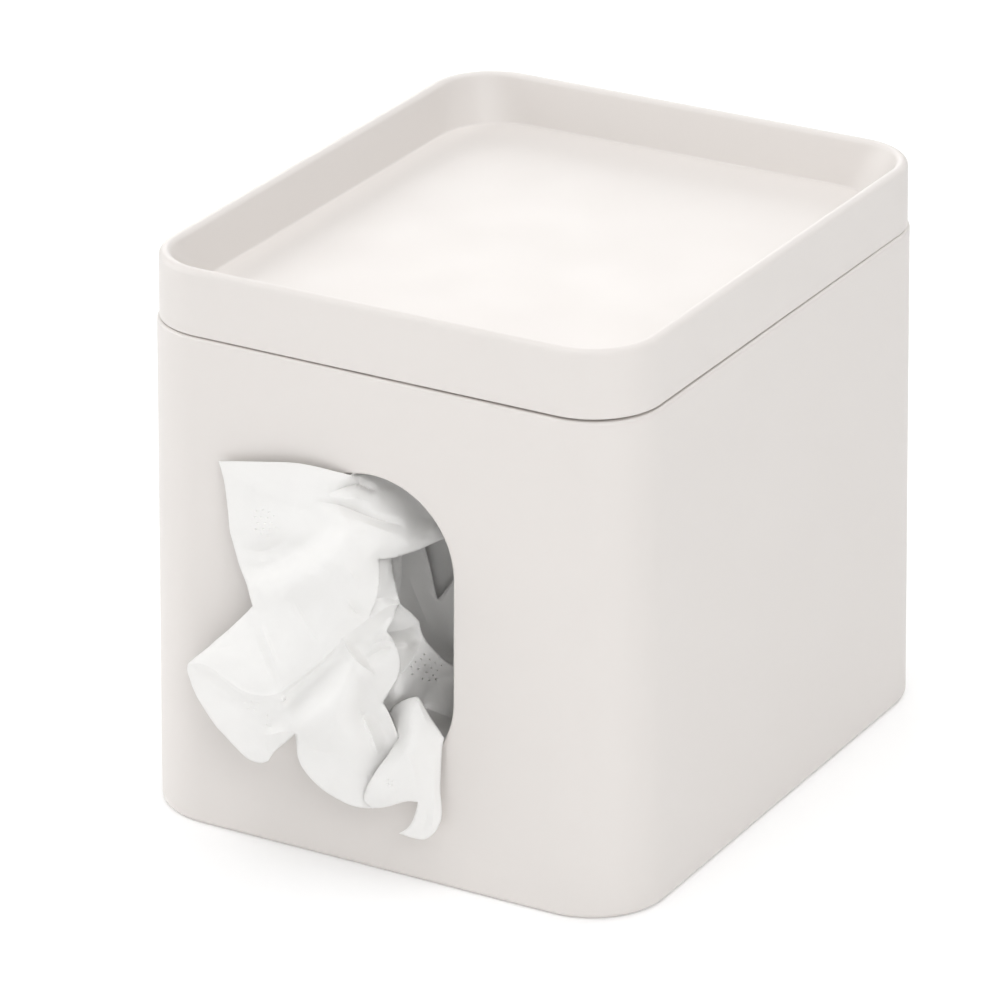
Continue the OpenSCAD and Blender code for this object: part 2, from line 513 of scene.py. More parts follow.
# ----------------------------------------------------------- the loose tissue
# Each layer of the crumpled tissue is drawn as it is seen from the camera: its
# outline, its folds and a few points in between, each with its distance in mm
# in front of the box's face. Between them the paper takes the shape of least
# bending, so that it runs smooth and only kinks along its folds.
def through(points, step, closed=False):
    """A curve through the points, straight on through the plain ones and with a corner at those marked 'c'."""
    pts = [(float(p[0]), float(p[1]), float(p[2])) for p in points]
    corner = [len(p) > 3 for p in points]
    n = len(pts)
    out = []
    last = n if closed else n - 1
    P = np.array(pts)
    for i in range(last):
        j = (i + 1) % n
        a, b = P[i], P[j]
        before = None if corner[i] or (not closed and i == 0) else P[(i - 1) % n]
        after = None if corner[j] or (not closed and j == n - 1) else P[(j + 1) % n]
        seg = np.linalg.norm(b[:2] - a[:2])
        k = max(1, int(round(seg / step)))
        if before is None:
            before = a - (b - a) if after is None else a * 2 - b
        if after is None:
            after = b * 2 - a
        # tangents scaled to the segment, so that uneven points don't overshoot
        ta = (b - before) * seg / (seg + np.linalg.norm(a[:2] - before[:2]) + 1e-9)
        tb = (after - a) * seg / (seg + np.linalg.norm(after[:2] - b[:2]) + 1e-9)
        for s in range(k):
            t = s / k
            h = ((2 * t**3 - 3 * t**2 + 1) * a + (t**3 - 2 * t**2 + t) * ta
                 + (-2 * t**3 + 3 * t**2) * b + (t**3 - t**2) * tb)
            out.append((h[0], h[1], h[2]))
    if not closed:
        out.append(tuple(P[-1]))
    return out


def inside(poly, x, y):
    """Which of the points x, y lie inside a polygon."""
    res = np.zeros(len(x), bool)
    n = len(poly)
    for i in range(n):
        x1, y1 = poly[i][0], poly[i][1]
        x2, y2 = poly[(i + 1) % n][0], poly[(i + 1) % n][1]
        if abs(y1 - y2) < 1e-12:
            continue
        cond = (y1 > y) != (y2 > y)
        xi = (x2 - x1) * (y - y1) / (y2 - y1) + x1
        res ^= cond & (x < xi)
    return res


def raised(V, line, rise, left, right):
    """A sharp ridge (or, with a negative rise, a valley) along a line, fading out left and right pixels to its sides."""
    P = np.array([p[:3] for p in line], float)
    best = np.full(len(V), 1e9)
    out = np.zeros(len(V))
    for a, b in zip(P[:-1], P[1:]):
        ab = b[:2] - a[:2]
        t = np.clip(((V - a[:2]) @ ab) / (ab @ ab), 0, 1)
        q = a[:2] + t[:, None] * ab
        dist = np.hypot(*(V - q).T)
        side = ab[0] * (V[:, 1] - a[1]) - ab[1] * (V[:, 0] - a[0])
        u = dist / np.where(side > 0, right, left)
        val = rise * (a[2] + (b[2] - a[2]) * t) * np.clip(1 - u, 0, 1) ** 1.5
        near = dist < best
        out = np.where(near, val, out)
        best = np.where(near, dist, best)
    return out


def layer(outline, folds=(), soft=(), spots=(), dots=(), pleats=(), step=2.2, dent=0.22):
    """Points in pixels with their depth, and triangles, for one layer of the tissue."""
    xy, depth, hinge = [], [], []
    index = {}

    def put(x, y, d, is_hinge):
        key = (round(x * 10), round(y * 10))
        if key in index:
            i = index[key]
            hinge[i] = hinge[i] or is_hinge
            return i
        index[key] = len(xy)
        xy.append((x, y))
        depth.append(d)
        hinge.append(is_hinge)
        return len(xy) - 1

    loop_pts = through(outline, step, closed=True)
    loop = []
    for x, y, d in loop_pts:
        i = put(x, y, d, False)
        if not loop or loop[-1] != i:
            loop.append(i)
    if loop[0] == loop[-1]:
        loop.pop()
    edges = []
    for line in folds:
        ids = [put(x, y, d, True) for x, y, d in through(line, step)]
        edges += [(a, b) for a, b in zip(ids[:-1], ids[1:]) if a != b]
    for line in soft:
        ids = [put(x, y, d, False) for x, y, d in through(line, step)]
        edges += [(a, b) for a, b in zip(ids[:-1], ids[1:]) if a != b]
    for x, y, d in spots:
        put(x, y, d, False)
    for line, rise, left, right in pleats:
        ids = [put(x, y, None, False) for x, y, d in through(line, step)]
        edges += [(a, b) for a, b in zip(ids[:-1], ids[1:]) if a != b]
    # embossed dots: a middle point and six round it
    dot_ids = []
    for x, y in dots:
        c = len(xy)
        xy.append((x, y)); depth.append(None); hinge.append(False)
        dot_ids.append(c)
        for k in range(6):
            a = math.radians(60 * k + 15)
            xy.append((x + 1.2 * math.cos(a), y + 1.2 * math.sin(a))); depth.append(None); hinge.append(False)
    # even points in between
    P = np.array(xy)
    lo, hi = P.min(0), P.max(0)
    gx, gy = [], []
    row = 0
    yv = lo[1]
    while yv < hi[1]:
        xv = lo[0] + (step / 2 if row % 2 else 0)
        while xv < hi[0]:
            gx.append(xv); gy.append(yv)
            xv += step
        yv += step * 0.866
        row += 1
    gx, gy = np.array(gx), np.array(gy)
    ok = inside(loop_pts, gx, gy)
    gx, gy = gx[ok], gy[ok]
    d2 = ((gx[:, None] - P[None, :, 0]) ** 2 + (gy[:, None] - P[None, :, 1]) ** 2).min(1)
    ok = d2 > (0.62 * step) ** 2
    for x, y in zip(gx[ok], gy[ok]):
        xy.append((x, y)); depth.append(None); hinge.append(False)

    from mathutils.geometry import delaunay_2d_cdt
    vs, es, fs, ov, oe, of_ = delaunay_2d_cdt([Vector(p) for p in xy], edges, [loop], 1, 1e-4, True)
    n = len(vs)
    V = np.array([(v.x, v.y) for v in vs])
    T = np.array([f for f in fs if len(f) == 3])
    mid = V[T].mean(axis=1)
    T = T[inside(loop_pts, mid[:, 0], mid[:, 1])]
    given = np.full(n, np.nan)
    hin = np.zeros(n, bool)
    for i, src in enumerate(ov):
        for s in src:
            if depth[s] is not None:
                given[i] = depth[s]
            hin[i] |= hinge[s]
    # edges that only one triangle uses are the border
    E = np.sort(np.concatenate([T[:, [0, 1]], T[:, [1, 2]], T[:, [2, 0]]]), axis=1)
    U, cnt = np.unique(E, axis=0, return_counts=True)
    border = np.zeros(n, bool)
    border[U[cnt == 1].ravel()] = True
    # weights of the edges from the triangles' angles
    W = np.zeros(len(U))
    key = {tuple(u): k for k, u in enumerate(map(tuple, U))}
    for t in T:
        for a, b, c in ((0, 1, 2), (1, 2, 0), (2, 0, 1)):
            i, j, k = t[a], t[b], t[c]
            u, v = V[i] - V[k], V[j] - V[k]
            cot = np.dot(u, v) / max(1e-6, abs(u[0] * v[1] - u[1] * v[0]))
            W[key[(min(i, j), max(i, j))]] += 0.5 * min(4.0, max(0.02, cot))
    # rows of the bending sum: every point that is neither on the border nor on a fold
    use = ~(border | hin)
    tot = np.full(n, 1e-12)
    np.add.at(tot, U[:, 0], W)
    np.add.at(tot, U[:, 1], W)
    I = np.concatenate([U[:, 0], U[:, 1], np.arange(n)])
    J = np.concatenate([U[:, 1], U[:, 0], np.arange(n)])
    X = np.concatenate([W / tot[U[:, 0]], W / tot[U[:, 1]], -np.ones(n)])
    keep = use[I]
    I, J, X = I[keep], J[keep], X[keep]
    # along folds and borders without a given depth there are none, so all others are free
    free = np.isnan(given)
    fixed_val = np.where(free, 0.0, given)
    x = np.where(free, np.nanmean(given), given)

    def A(v):
        return np.bincount(I, weights=X * v[J], minlength=n)

    def At(r):
        return np.bincount(J, weights=X * r[I], minlength=n)

    eps = 1e-7
    b = -At(A(fixed_val))
    b[~free] = 0

    def M(v):
        r = At(A(v)) + eps * v
        r[~free] = 0
        return r

    # start from the smooth membrane, then solve
    for _ in range(400):
        nb = np.bincount(U[:, 0], weights=W * x[U[:, 1]], minlength=n) + np.bincount(U[:, 1], weights=W * x[U[:, 0]], minlength=n)
        x = np.where(free, nb / tot, x)
    v = np.where(free, x, 0.0)
    r = b - M(v)
    p = r.copy()
    rs = float(r @ r)
    for it in range(2500):
        if rs < 1e-12:
            break
        Ap = M(p)
        al = rs / max(1e-30, float(p @ Ap))
        v += al * p
        r -= al * Ap
        rs2 = float(r @ r)
        p = r + (rs2 / rs) * p
        rs = rs2
    d = np.where(free, v, given)
    # a border point that was given no depth takes its neighbours'
    lost = free & (border | (tot < 1e-9))
    if lost.any():
        both = np.concatenate([U, U[:, ::-1]])
        both = both[~lost[both[:, 1]]]
        num = np.bincount(both[:, 0], weights=d[both[:, 1]], minlength=n)
        cnt2 = np.bincount(both[:, 0], minlength=n)
        d = np.where(lost & (cnt2 > 0), num / np.maximum(1, cnt2), d)
    for line, rise, left, right in pleats:
        d += raised(V, line, rise, left, right)
    dot_set = set(dot_ids)
    for i, src in enumerate(ov):
        if any(s in dot_set for s in src):
            d[i] -= dent
    return V, d, T


N_ = (253, 606, 7.8)
E_ = (282, 691.5, 15.4)
D_ = (343, 637, 10.4)
C_ = (369, 617.5, 8.0)
PEAK = (400, 603.2, 2.2)


def front_layer():
    outline = [
        (219, 461, 2.0, 'c'), (238, 461.4, 2.3), (262, 461.8, 2.4), (284, 462.3, 2.3), (300, 463.5, 2.1), (318, 467, 1.8), (335, 471.4, 1.4), (342, 473.0, 1.1),
        (346.8, 474.2, 0.8), (350.6, 474.6, 0.2), (353.6, 473.6, -1.9), (355.2, 470.5, -4.3), (357, 463, -5.6, 'c'),
        (378, 460, -6.4), (400, 468, -7.6), (418, 480, -8.8), (440, 503, -10.8), (462, 540, -12.8, 'c'),
        (452, 537, -10.6), (443.6, 539, -9.2), (430, 545, -6.8), (415.7, 550.5, -3.8), (403, 554.5, -0.6), (391.4, 557.8, 2.2), (379, 559, 5.0, 'c'),
        (379.8, 575, 6.3), (378.6, 590, 7.4), (375.5, 602, 8.0), (*C_, 'c'),
        (380, 611.5, 6.4), (390, 605.7, 4.4), (*PEAK, 'c'),
        (398, 606.8, 1.9), (395, 615, 2.0), (390.5, 623.5, 2.8), (386.5, 631.5, 3.6, 'c'), (391, 637, 3.0), (395.5, 643.5, 2.4, 'c'), (398.5, 653, 2.0), (401, 664, 1.6, 'c'),
        (399.5, 672, 2.2), (397, 679, 2.8), (390.5, 690.5, 4.0), (383, 702.5, 5.2, 'c'), (389, 713.5, 4.8), (394, 726, 4.3), (399, 738, 4.2, 'c'),
        (406, 752, 4.4), (404, 775, 5.2), (393, 796, 6.8), (380, 806.8, 7.4, 'c'),
        (367, 808, 8.6), (350, 805, 10.4), (333, 796.5, 11.8), (315, 783, 12.6), (303, 768, 12.6), (298, 756, 12.5), (296.3, 745, 12.4), (295, 733.5, 12.4, 'c'),
        (285, 742.5, 12.2), (275, 751, 12.4), (268.5, 760.5, 12.6, 'c'),
        (261, 763, 13.4), (249, 759.5, 13.5), (236, 748, 13.2), (224, 735, 12.4), (213, 722, 11.4), (204, 708, 10.2), (196, 694, 8.8), (190.5, 680, 8.6), (187.7, 670, 8.6), (188, 664, 8.6, 'c'),
        (203, 651.5, 8.0), (221, 636.5, 7.7), (238, 621, 7.5), (*N_, 'c'),
        (248, 588, 6.2), (241, 570, 4.9), (234, 545, 3.7), (230, 528, 3.1), (228.5, 512, 2.8), (227, 497, 2.5), (224, 479, 2.2),
    ]
    folds = [
        # the pocket's left and right sides
        [N_, (257, 618, 9.5), (262, 636, 11.5), (268, 655, 13.0), (275, 673, 14.3), E_],
        [C_, (357, 627.3, 9.3), D_, (333, 649, 12.2), (319, 662, 13.8), (301, 677, 14.9), E_],
        # the rounded edge that runs to the left corner
        [(188, 664, 8.6), (200, 663.5, 9.8), (211, 667.5, 11.0), (226, 678.5, 13.0), (241, 689.5, 14.4), (256, 694.8, 15.2), (270, 695.5, 15.6), E_],
        # the turned end of the long pleat
        [(295, 733.5, 12.4), (291, 732.2, 13.4), (282, 732.0, 14.5), (273.5, 733.5, 14.2), (266.6, 737, 13.4)],
        [(266.6, 737, 13.2), (267.5, 750, 12.8), (268.5, 760.5, 12.6)],
        # facets near the opening
        [D_, (347, 648, 10.6), (355, 659, 10.2), (364, 667, 9.4), (373, 673, 8.4)],
        [(366, 659, 7.5), (377, 651.5, 5.3), (387, 646.8, 3.6)],
        [(383, 702.5, 5.2), (374, 709, 7.6), (363, 715.5, 9.8), (368, 726, 9.4), (373, 738, 8.8), (377, 751, 8.0)],
    ]
    soft = [
        # start and foot of the slope across the upper flap
        [(257, 578, 6.3), (279, 567.5, 7.4), (301, 554, 8.3), (322, 539, 8.6), (342, 527, 7.4)],
        [(262, 588, 9.6), (281, 579.5, 11.6), (301, 568, 12.7), (321, 555, 12.3), (343, 542, 10.6)],
        # hollow to the left of the pocket
        [(251, 619, 8.8), (256.5, 636, 10.9), (263, 655, 12.4), (270, 673, 13.8), (277.5, 688, 15.0)],
        # hollow between the pocket and the long pleat
        [(339, 648.5, 10.8), (326.5, 661.5, 12.2), (309, 676, 13.1), (291, 692.5, 13.8), (283.5, 703, 13.9), (276.5, 715, 13.4), (270, 727, 13.0)],
        # crest of the long pleat
        [(353, 664, 11.6), (346, 682, 14.6), (333, 700, 16.6), (317, 715, 16.8), (302, 727, 15.7)],
        # hollow under the rounded edge
        [(195, 669, 8.7), (207, 674.5, 9.6), (221, 686, 11.2), (237, 698, 13.0), (253, 703, 14.1), (270, 703.5, 14.8), (285, 700.5, 14.9)],
    ]
    spots = [
        (245, 480, 3.0), (250, 500, 3.7), (280, 490, 3.9), (280, 510, 4.9), (310, 492, 4.1), (310, 515, 5.9), (332, 497, 4.0), (350, 493, 2.4), (262, 540, 5.5), (300, 535, 7.4), (340, 512, 5.4), (360, 509, 2.6),
        (356, 477, -1.9), (364, 477, -3.6), (374, 482, -4.0), (366, 488, -1.4), (380, 500, -1.6), (385, 484, -5.8), (400, 490, -7.4), (398, 506, -4.6), (415, 504, -8.6), (425, 518, -9.4), (402, 520, -2.8), (414, 530, -5.2), (395, 533, 1.4), (408, 544, -0.8), (421, 540, -4.8), (434, 530, -8.0),
        (368, 529, 6.2), (385, 546, 4.6), (362, 546, 8.8),
        (288, 600, 12.6), (312, 600, 13.2), (340, 590, 12.8), (362, 585, 10.2), (362, 602, 10.0), (300, 628, 14.0), (326, 625, 13.2), (345, 615, 11.5),
        (296, 655, 15.0), (315, 645, 14.0), (286, 674, 15.4),
        (236, 640, 9.8), (224, 655, 11.4), (211, 658, 10.5), (246, 656, 12.3), (250, 674, 14.1), (234, 669, 12.9), (263, 681, 14.9),
        (374, 630, 4.9), (387, 619, 3.0), (361, 641, 6.8), (352, 646, 8.6), (371, 644, 6.0), (381, 640.5, 4.8), (386, 660, 4.6), (377, 668, 7.0), (392, 672, 3.7), (370, 690, 8.8), (384, 690, 5.4), (369, 664, 7.2),
        (357, 691, 12.8), (350, 722, 14.2), (357, 742, 12.8), (379, 722, 5.9), (388, 735, 4.6), (384, 752, 5.8),
        (212, 692, 10.5), (230, 712, 12.6), (248, 735, 13.7), (258, 751, 13.6), (262, 715, 13.9),
        (311, 738, 13.8), (330, 752, 13.2), (330, 776, 12.7), (365, 770, 9.2), (350, 782, 10.8), (372, 790, 8.0), (386, 780, 6.6), (281, 743, 12.9),
    ]
    pleats = [
        ([(314, 501, 0), (340, 505, 1), (360, 513, 1), (378, 520, 1), (398, 525, .6)], -1.5, 8, 10),
        ([(328, 494, 0), (345, 487, 1), (358, 484.5, 1), (370, 490, .6)], -1.7, 9, 7),
        ([(343, 500, 0), (356, 498, 1), (369, 501, .4)], 0.7, 6, 6),
        ([(350, 517, 0), (368, 524, 1), (388, 532, .4)], 0.5, 6, 7),
        ([(287, 586, 0), (299, 610, 1), (311, 631, .7), (322, 645, 0)], -0.9, 14, 9),
        ([(345, 597, 0), (354, 610, 1), (364, 617, .5)], -1.2, 10, 8),
        ([(338, 560, 0), (352, 575, .8), (357, 592, 0)], 0.7, 9, 9),
        ([(205, 655, 0), (222, 648, .8), (240, 645, 0)], -0.7, 9, 9),
        ([(369, 647.5, 0), (379, 641.5, 1), (387, 640.3, 1), (393, 642.5, .4)], 0.9, 9, 4.5),
        ([(364, 660, 0), (372, 654.5, 1), (380, 649.5, 1), (388, 646.8, .7), (391, 647.2, .3)], -0.55, 4.5, 10),
        ([(363, 715.5, .6), (368, 726, 1), (373, 738, 1), (377, 752, 0)], 1.0, 12, 4),
        ([D_[:2] + (0,), (347, 648, .8), (355, 659, 1), (364, 667, 1), (375, 674, 0)], 1.0, 9, 9),
        ([(300, 745, 0), (316, 750, .8), (340, 754, .8), (356, 764, 0)], -1.1, 16, 14),
        ([(200, 690, 0), (222, 712, .7), (245, 725, 0)], 0.6, 12, 12),
        ([(235, 470, 0), (262, 490, .6), (300, 505, 0)], 0.5, 12, 9),
        ([(238, 548, 0), (262, 551, .8), (290, 540, 0)], -0.8, 9, 8),
        ([(240, 560, 0), (262, 562, .8), (284, 556, 0)], 0.5, 7, 7),
        ([(257, 611, 0), (264.5, 634, 1), (271, 652, 1), (280, 678, .4)], 0.55, 4.5, 5),
        ([(252, 624, 0), (257, 640, .7), (264, 657, 1), (272, 676, .3)], -0.25, 6, 6),
        ([(200, 667, 0), (212, 672, 1), (227, 683, 1), (243, 694, 1), (262, 698.5, .8), (280, 696, 0)], 0.5, 5, 7),
        ([(341, 641, .2), (330, 655, 1), (315.5, 668.5, 1), (298, 683, 1), (284, 695, .4)], -0.6, 3, 6),
        ([(385, 765, 0), (372, 775, .7), (352, 772, 0)], -0.6, 9, 9),
        ([(310, 560, 0), (330, 572, .7), (345, 562, 0)], -0.5, 8, 8),
        ([(318, 742, 0), (330, 731, .8), (338, 718, 0)], 0.5, 8, 8),
        ([(300, 700, 0), (318, 690, .7), (333, 668, 0)], 0.5, 8, 8),
    ]
    dots = []
    for dx, dy in [(-8, -12), (-2, -13), (4, -11), (-10, -6), (-4, -6), (3, -5), (9, -7), (-7, 0), (0, 0), (7, 0), (-9, 6), (-2, 6), (5, 6), (11, 4), (-4, 11), (3, 12)]:
        dots.append((265 + dx, 523 + dy))
    for dx, dy in [(-6, -4), (0, -5), (6, -3), (-3, 2), (3, 3)]:
        dots.append((252 + dx, 706 + dy))
    for dx, dy in [(-1, -3), (3, 2), (-2, 6), (3, 9)]:
        dots.append((268 + dx, 718 + dy))
    return layer(outline, folds, soft, spots, dots, pleats)


def strip_layer():
    outline = [
        (*PEAK, 'c'), (390, 605.7, 4.4), (380, 611.5, 6.4), (*C_, 'c'),
        (361, 613, 7.5, 'c'), (367, 600, 7.3), (371, 585, 7.0), (372, 565, 6.2), (372, 550, 5.2, 'c'), (392, 549, -2.0, 'c'),
        (391.5, 558, -1.7), (393, 572, -1.1), (396, 586, 0.0), (399, 599, 1.6),
    ]
    folds = [
        [(388.5, 551, -0.2), (387.3, 573, 1.6), (386, 588, 3.2), (383, 597, 5.2)],
        [(376, 599, 6.9), (383, 597, 5.2), (390, 598.5, 3.2), (396.5, 600.5, 2.0)],
    ]
    return layer(outline, folds, (), [(379, 580, 4.9), (391.5, 586, 1.2), (386, 604, 5.0)], (), ())


def middle_layer():
    outline = [
        (394, 598, 0.2, 'c'), (400, 604.2, 1.2), (409, 611.5, -2.4), (419, 621, -5.6, 'c'), (421.5, 632, -6.6), (427, 642, -7.8), (436, 652, -9.8), (445, 661, -11.4), (458, 668, -13.4, 'c'),
        (460, 700, -14.4), (456, 745, -13.6, 'c'), (440, 742, -12.0), (412, 746, -7.5), (396, 742, -4.0, 'c'), (384, 724, -4.5), (374, 706, -2.5, 'c'),
        (381, 690, 1.4), (388, 668, 0.4), (384, 648, 0.4), (378, 630, 1.6), (385, 612, 0.8),
    ]
    folds = [
        [(388, 632, 0.1), (401, 630, -2.3), (418, 623, -5.6)],
        [(421, 640, -6.6), (416, 653, -5.2), (408, 666, -2.4), (402, 673, -0.6)],
        [(427, 708.5, -9.2), (438, 712.5, -11.4), (452, 718, -13.4)],
    ]
    spots = [
        (405, 615, -2.5), (396, 620, -0.7), (408, 645, -7.2), (396, 645, -4.4), (425, 672, -9.0), (435, 672, -11.4), (412, 690, -4.0), (400, 696, 0.0), (394, 691, 1.4), (388, 707, -2.0), (393, 704, -1.2),
        (425, 695, -9.8), (440, 690, -12.6), (432, 727, -12.0), (445, 730, -13.4), (404, 684, -0.8), (425, 704, -9.6), (441, 704, -12.4),
    ]
    dots = [
        (412, 674), (411, 666.5), (415, 661.5), (418, 668.5), (420.5, 659), (424, 654), (424.5, 664.5), (426, 672), (429.5, 659), (431, 667.5), (433, 675),
        (435, 662), (437.5, 670), (422, 678.5), (429, 680), (439, 657), (441.5, 665), (436, 679),
    ]
    return layer(outline, folds, (), spots, dots, (), 2.2, 0.9)


def back_layers():
    a = layer([
        (376, 540, -12, 'c'), (423, 541, -15.6, 'c'), (427, 556, -15.9), (431, 572, -16.2), (437, 600, -16.8, 'c'),
        (443, 593.5, -17.0), (450, 584, -17.1), (462, 570, -17.2, 'c'), (470, 620, -17.8), (468, 680, -17.6, 'c'),
        (445, 705, -17.2), (415, 695, -16.0), (396, 640, -14.5), (382, 600, -13),
    ], [[(437, 600, -16.8), (444, 630, -17.6), (452, 655, -18.0), (459, 682, -17.8)]], (),
        [(405, 575, -15.2), (420, 620, -16.4), (432, 640, -17.4)], (), [([(404, 560, 0), (412, 585, 1), (426, 620, 1), (438, 650, 0)], 0.35, 9, 12)], 4.5)
    c = layer([(396, 528, -18.4, 'c'), (474, 524, -19.6, 'c'), (480, 630, -19.8, 'c'), (400, 612, -19.2, 'c')], (), (),
        [(430, 560, -19.8)], (), (), 6.0)
    return [a, c]


def tail_layer():
    outline = [
        (411.5, 697.6, 2.0), (417.5, 697.2, 1.8), (421.5, 702, 1.4), (426, 710, 1.1), (431, 718.5, 0.9), (438, 729, 0.8), (444, 738, 0.9, 'c'), (441.5, 750, 1.3), (440.5, 770, 1.7), (440.3, 790, 2.1),
        (441.8, 810, 2.6), (440.8, 820, 3.0), (436.5, 829.5, 3.6), (430.5, 836, 4.2), (424, 839.4, 4.8), (412, 838, 5.8), (399, 833.5, 7.0, 'c'),
        (406.5, 829, 6.2), (412.3, 821, 5.6), (415.5, 812, 5.6), (418, 802, 6.0, 'c'), (408, 801.5, 6.6), (398, 803.5, 7.2), (386, 806.6, 8.0), (372, 808.2, 8.8, 'c'),
        (364, 800, 9.7), (367, 786, 9.8, 'c'), (376, 771, 9.3), (385, 759, 8.2), (393, 747, 6.6), (399, 738, 5.1, 'c'), (394, 727, 2.4), (389, 714, 0.4, 'c'), (393, 707, 0.6), (403, 700.5, 1.4),
    ]
    folds = [
        [(416.5, 699.5, 2.6), (424, 718, 3.0), (430, 737, 3.1), (433, 760, 3.2), (434, 785, 3.6), (434, 805, 4.0), (432, 825, 4.6)],
    ]
    soft = [
        [(410, 706, 3.4), (409.5, 725, 5.4), (406.5, 745, 7.2), (399, 765, 8.6), (390, 783, 9.5), (383, 798, 9.6)],
    ]
    spots = [(420, 760, 5.4), (415, 785, 6.4), (399, 715, 2.3), (425, 815, 5.0), (402, 732, 5.0), (395, 792, 8.8)]
    dots = [(388, 780), (391.5, 781), (388, 784), (391.5, 785)]
    pleats = [([(400, 742, 0), (412, 765, .8), (418, 795, 0)], 0.5, 9, 9), ([(425, 806, 0), (427, 818, .8), (420, 832, 0)], -0.6, 7, 7)]
    return layer(outline, folds, soft, spots, dots, pleats)


def rear_layer():
    """The far side of the crumple, which the front hides."""
    outline = [
        (234, 474, 1.3, 'c'), (300, 478, 1.4), (338, 486, 1.1), (349, 491, -0.6), (358, 496, -3.0), (380, 494, -6.5, 'c'), (400, 510, -9.5, 'c'), (402, 560, -12), (396, 640, -12), (388, 700, -8), (396, 745, 0.8, 'c'),
        (390, 780, 3.4), (375, 792, 5.0, 'c'), (345, 790, 6.4), (315, 772, 7.4), (304, 752, 8.0, 'c'), (303, 728, 8.6, 'c'), (282, 724, 8.8, 'c'), (262, 736, 8.6, 'c'), (258, 750, 8.6, 'c'), (240, 738, 8.2), (216, 710, 6.8), (200, 680, 5.2, 'c'), (226, 646, 4.8), (256, 614, 4.6, 'c'),
        (249, 578, 2.6), (242, 538, 1.4), (238, 503, 1.0),
    ]
    folds = [
        [(256, 614, 4.6), (291, 600, 2.6), (340, 585, -6), (402, 560, -12)],
        [(200, 680, 5.2), (240, 684, 5.4), (291, 682, 2.4), (340, 660, -6), (396, 640, -12)],
        [(303, 728, 8.6), (312, 718, 5.2), (340, 700, -1.5), (388, 700, -8)],
        [(240, 520, 1.6), (284, 540, 1.8), (300, 539, 0.8), (335, 530, -4.0), (402, 540, -11)],
    ]
    spots = [(288, 560, 1.6), (289, 640, 1.6), (292, 708, 4.4), (350, 620, -9), (330, 738, 5.2), (350, 752, 3.6), (372, 748, 1.6), (250, 650, 3.6), (250, 710, 6.6), (265, 662, 3.0)]
    return layer(outline, folds, (), spots, (), (), 5.0)


def neck():
    """The rest of the sheet, gathered in fine pleats between the pack's face and the opening."""
    leaves, across, along = 128, 3, 5
    low, high = 31.0, 94.0
    verts, faces = [], []
    path = []
    for n in range(leaves + 1):
        z = low + (high - low) * n / leaves
        wander = 0.5 * math.sin(0.9 * n) + 0.4 * math.sin(2.3 * n + 1.0)
        path.append((n % 2, z, wander))
    columns = []
    for n in range(leaves):
        (s0, z0, w0), (s1, z1, w1) = path[n], path[n + 1]
        for k in range(across):
            t = k / across
            columns.append((s0 + (s1 - s0) * t, z0 + (z1 - z0) * t, w0 + (w1 - w0) * t))
    columns.append(path[-1])
    for side, z, wander in columns:
        over = max(0.0, abs(z - 62.5) - 16.4)
        left = -3.4 - math.sqrt(max(9.0, 16.3 ** 2 - over ** 2))
        for j in range(along + 1):
            d = -17.0 + 13.1 * j / along
            right = 1.3 + 0.637 * d + wander
            right = max(right, left + 1.5)
            x = left + (right - left) * side
            y = -(77.5 + 1.8 * (123.0 - z) / 123.0) - d
            verts.append(Vector((x * MM, y * MM, z * MM)))
    rows = along + 1
    for c in range(len(columns) - 1):
        for j in range(along):
            a, b = c * rows + j, (c + 1) * rows + j
            faces.append((a, b, b + 1, a + 1))
    return verts, faces


def build_tissue():
    layers = [front_layer(), strip_layer(), middle_layer(), *back_layers(), tail_layer(), rear_layer()]
    verts, faces = [], []
    for k, (V, d, T) in enumerate(layers):
        base = len(verts)
        P = [seen_at(x, y, z) for (x, y), z in zip(V, d)]
        verts += P
        for t in T:
            a, b, c = (P[t[0]], P[t[1]], P[t[2]])
            n = np.cross(b - a, c - a)
            # every layer's outside faces the camera
            if np.dot(n, EYE - a) < 0:
                t = t[::-1]
            faces.append(tuple(int(i) + base for i in t))
    neck_v, neck_f = neck()
    base = len(verts)
    verts += neck_v
    faces += [tuple(i + base for i in f) for f in neck_f]
    ob = new_object("loose_tissue", verts, faces)
    weld(ob, 1e-5, recalc=False)
    crumple(ob)
    ob.data.set_sharp_from_angle(angle=math.radians(13.0))
    m = ob.modifiers.new("two_plies", "SOLIDIFY")
    m.thickness = 0.00022
    m.offset = 0.0
    m.use_even_offset = False
    m.use_rim = True
    return ob


def crumple(ob):
    """Soft creases and a faint cockle over the whole tissue."""
    me = ob.data
    n = len(me.vertices)
    co = np.zeros(n * 3)
    no = np.zeros(n * 3)
    me.vertices.foreach_get("co", co)
    me.vertices.foreach_get("normal", no)
    co, no = co.reshape(-1, 3), no.reshape(-1, 3)
    out = co.copy()
    for i in range(n):
        p = Vector(co[i]) * 1000.0
        big = noise.noise(p / 11.0 + Vector((3.1, 7.7, 1.3)))
        mid = abs(noise.noise(p / 6.0 + Vector((9.4, 2.2, 5.1))))
        fine = noise.noise(p / 2.2 + Vector((1.9, 4.4, 8.8)))
        h = 0.24 * big + 0.32 * (0.22 - mid) + 0.05 * fine
        out[i] = co[i] + no[i] * h * MM
    # nothing reaches into the front wall round the opening
    x, y, z = (out / MM).T
    front = 77.5 + 1.8 * (123.0 - z) / 123.0
    d = -y - front
    straight = np.clip(z - 62.5, -15.2, 15.2)
    wall = np.hypot(x, z - 62.5 - straight) > 20.7
    d = np.where(wall & (d > -1.8) & (d < 0.4), 0.4, d)
    d = np.where(wall & (d <= -1.8) & (d > -4.1), -4.1, d)
    out[:, 1] = -(front + d) * MM
    me.vertices.foreach_set("co", out.ravel())
    me.update()


